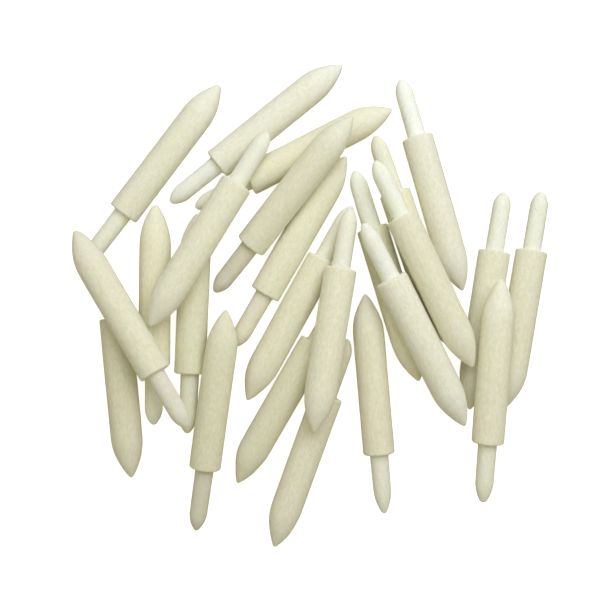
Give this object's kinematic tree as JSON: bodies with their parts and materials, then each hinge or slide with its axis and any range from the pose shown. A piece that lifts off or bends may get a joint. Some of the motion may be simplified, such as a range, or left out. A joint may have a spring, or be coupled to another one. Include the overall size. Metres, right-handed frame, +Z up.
{
  "type": "blending stump",
  "caption": "Loose set of pointed bonded-fibre blending stumps, each with a thick body, a square shoulder and a thin round stem.",
  "frame": {"origin": "on the surface that the set lies on, under the middle of its outline", "axes": "+Z up from the surface; the stumps lie on it in two layers, seen the right way up from above with +Y at the top"},
  "size_m": [0.0706, 0.0724, 0.0103],
  "materials": {
    "bonded_fibre": "matte"
  },
  "bodies": {
    "resting_layer": {"lower_stump_02": "bonded_fibre", "lower_stump_03": "bonded_fibre", "lower_stump_06": "bonded_fibre", "lower_stump_07": "bonded_fibre", "lower_stump_08": "bonded_fibre", "lower_stump_09": "bonded_fibre", "lower_stump_13": "bonded_fibre"},
    "lower_stump_01": {"lower_stump_01": "bonded_fibre"},
    "lower_stump_04": {"lower_stump_04": "bonded_fibre"},
    "lower_stump_05": {"lower_stump_05": "bonded_fibre"},
    "lower_stump_10": {"lower_stump_10": "bonded_fibre"},
    "lower_stump_11": {"lower_stump_11": "bonded_fibre"},
    "lower_stump_12": {"lower_stump_12": "bonded_fibre"},
    "lower_stump_14": {"lower_stump_14": "bonded_fibre"},
    "lower_stump_15": {"lower_stump_15": "bonded_fibre"},
    "lower_stump_16": {"lower_stump_16": "bonded_fibre"},
    "upper_stump_01": {"upper_stump_01": "bonded_fibre"},
    "upper_stump_02": {"upper_stump_02": "bonded_fibre"},
    "upper_stump_03": {"upper_stump_03": "bonded_fibre"},
    "upper_stump_04": {"upper_stump_04": "bonded_fibre"},
    "upper_stump_05": {"upper_stump_05": "bonded_fibre"},
    "upper_stump_06": {"upper_stump_06": "bonded_fibre"},
    "upper_stump_07": {"upper_stump_07": "bonded_fibre"},
    "upper_stump_08": {"upper_stump_08": "bonded_fibre"}
  },
  "joints": [
    {"name": "lower_stump_01_draw", "type": "slide", "parent": "resting_layer", "child": "lower_stump_01", "axis": [0.6046, 0.7965, 0], "range_m": [0, 0.036]},
    {"name": "lower_stump_04_draw", "type": "slide", "parent": "resting_layer", "child": "lower_stump_04", "axis": [0.0958, -0.9954, 0], "range_m": [0, 0.036]},
    {"name": "lower_stump_05_draw", "type": "slide", "parent": "resting_layer", "child": "lower_stump_05", "axis": [0.7771, 0.6293, 0], "range_m": [0, 0.036]},
    {"name": "lower_stump_10_draw", "type": "slide", "parent": "resting_layer", "child": "lower_stump_10", "axis": [-0.342, -0.9397, 0], "range_m": [0, 0.036]},
    {"name": "lower_stump_11_lift", "type": "slide", "parent": "resting_layer", "child": "lower_stump_11", "axis": [0, 0, 1], "range_m": [0, 0.03]},
    {"name": "lower_stump_12_draw", "type": "slide", "parent": "resting_layer", "child": "lower_stump_12", "axis": [0.2924, -0.9563, 0], "range_m": [0, 0.036]},
    {"name": "lower_stump_14_lift", "type": "slide", "parent": "resting_layer", "child": "lower_stump_14", "axis": [0, 0, 1], "range_m": [0, 0.03]},
    {"name": "lower_stump_15_draw", "type": "slide", "parent": "resting_layer", "child": "lower_stump_15", "axis": [0.1564, 0.9877, 0], "range_m": [0, 0.036]},
    {"name": "lower_stump_16_draw", "type": "slide", "parent": "resting_layer", "child": "lower_stump_16", "axis": [0.165, 0.9863, 0], "range_m": [0, 0.036]},
    {"name": "upper_stump_01_lift", "type": "slide", "parent": "resting_layer", "child": "upper_stump_01", "axis": [0, 0, 1], "range_m": [0, 0.03]},
    {"name": "upper_stump_02_lift", "type": "slide", "parent": "resting_layer", "child": "upper_stump_02", "axis": [0, 0, 1], "range_m": [0, 0.03]},
    {"name": "upper_stump_03_lift", "type": "slide", "parent": "resting_layer", "child": "upper_stump_03", "axis": [0, 0, 1], "range_m": [0, 0.03]},
    {"name": "upper_stump_04_lift", "type": "slide", "parent": "resting_layer", "child": "upper_stump_04", "axis": [0, 0, 1], "range_m": [0, 0.03]},
    {"name": "upper_stump_05_lift", "type": "slide", "parent": "resting_layer", "child": "upper_stump_05", "axis": [0, 0, 1], "range_m": [0, 0.03]},
    {"name": "upper_stump_06_lift", "type": "slide", "parent": "resting_layer", "child": "upper_stump_06", "axis": [0, 0, 1], "range_m": [0, 0.03]},
    {"name": "upper_stump_07_lift", "type": "slide", "parent": "resting_layer", "child": "upper_stump_07", "axis": [0, 0, 1], "range_m": [0, 0.03]},
    {"name": "upper_stump_08_lift", "type": "slide", "parent": "resting_layer", "child": "upper_stump_08", "axis": [0, 0, 1], "range_m": [0, 0.03]}
  ]
}
